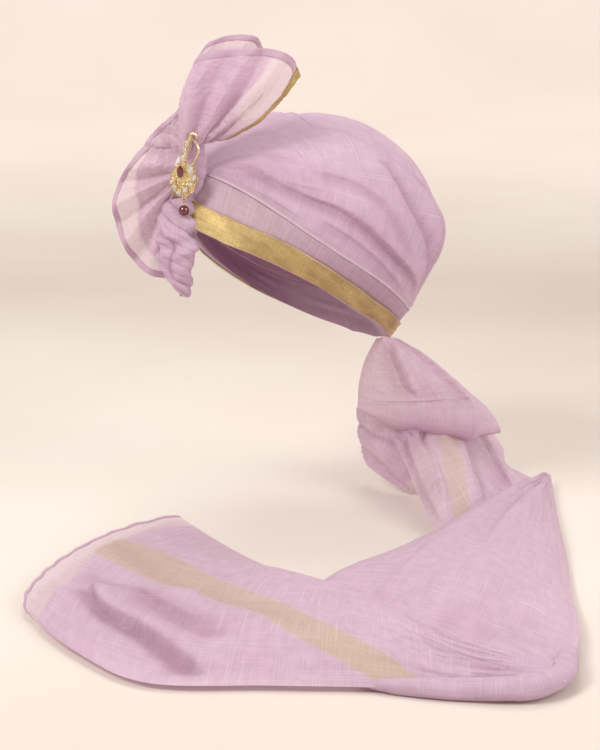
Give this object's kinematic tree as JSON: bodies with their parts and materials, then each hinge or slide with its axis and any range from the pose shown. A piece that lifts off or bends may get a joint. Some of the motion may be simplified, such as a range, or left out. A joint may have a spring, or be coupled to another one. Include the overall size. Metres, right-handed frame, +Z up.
{
  "type": "tied turban with tail",
  "caption": "Tied pagri turban: pleated wound crown, woven gold band, fanned front held by a jewelled brooch, and a long cloth tail that falls from the nape.",
  "frame": {"origin": "middle of the opening that the head goes in, where the turban sits on the wearer's head", "axes": "+Z up, the wearer faces -Y, +X is the wearer's left"},
  "size_m": [0.5771, 0.6093, 0.4325],
  "materials": {
    "lilac": "matte fine cotton voile with slubs",
    "lilac_sheer": "matte, single thin layers",
    "zari": "woven metallic thread",
    "gold": "gold plated, polished",
    "ruby": "faceted, polished",
    "kundan": "clear stone over foil, polished"
  },
  "bodies": {
    "root": {"crown_wrap": "lilac", "brim_wrap": "lilac", "gold_band": "zari", "upper_fan_front": "lilac_sheer", "upper_fan_back": "lilac_sheer", "fan_border": "zari", "mid_fan": "lilac_sheer", "lower_fan": "lilac_sheer", "hanging_twist": "lilac", "front_knot": "lilac", "tail_fall": "lilac", "tail_back": "lilac", "tail_panel": "lilac", "front_run": "lilac", "brooch_body": "gold", "ruby_drop": "ruby", "kundan_leaf": "kundan", "kundan_side_1": "kundan", "kundan_side_2": "kundan", "kundan_side_3": "kundan", "kundan_side_4": "kundan", "kundan_foot_1": "kundan", "kundan_foot_2": "kundan", "kundan_stem_1": "kundan", "kundan_stem_2": "kundan", "kundan_stem_3": "kundan", "drop_link": "gold", "bead_pin": "gold", "ruby_bead": "ruby"}
  },
  "joints": []
}
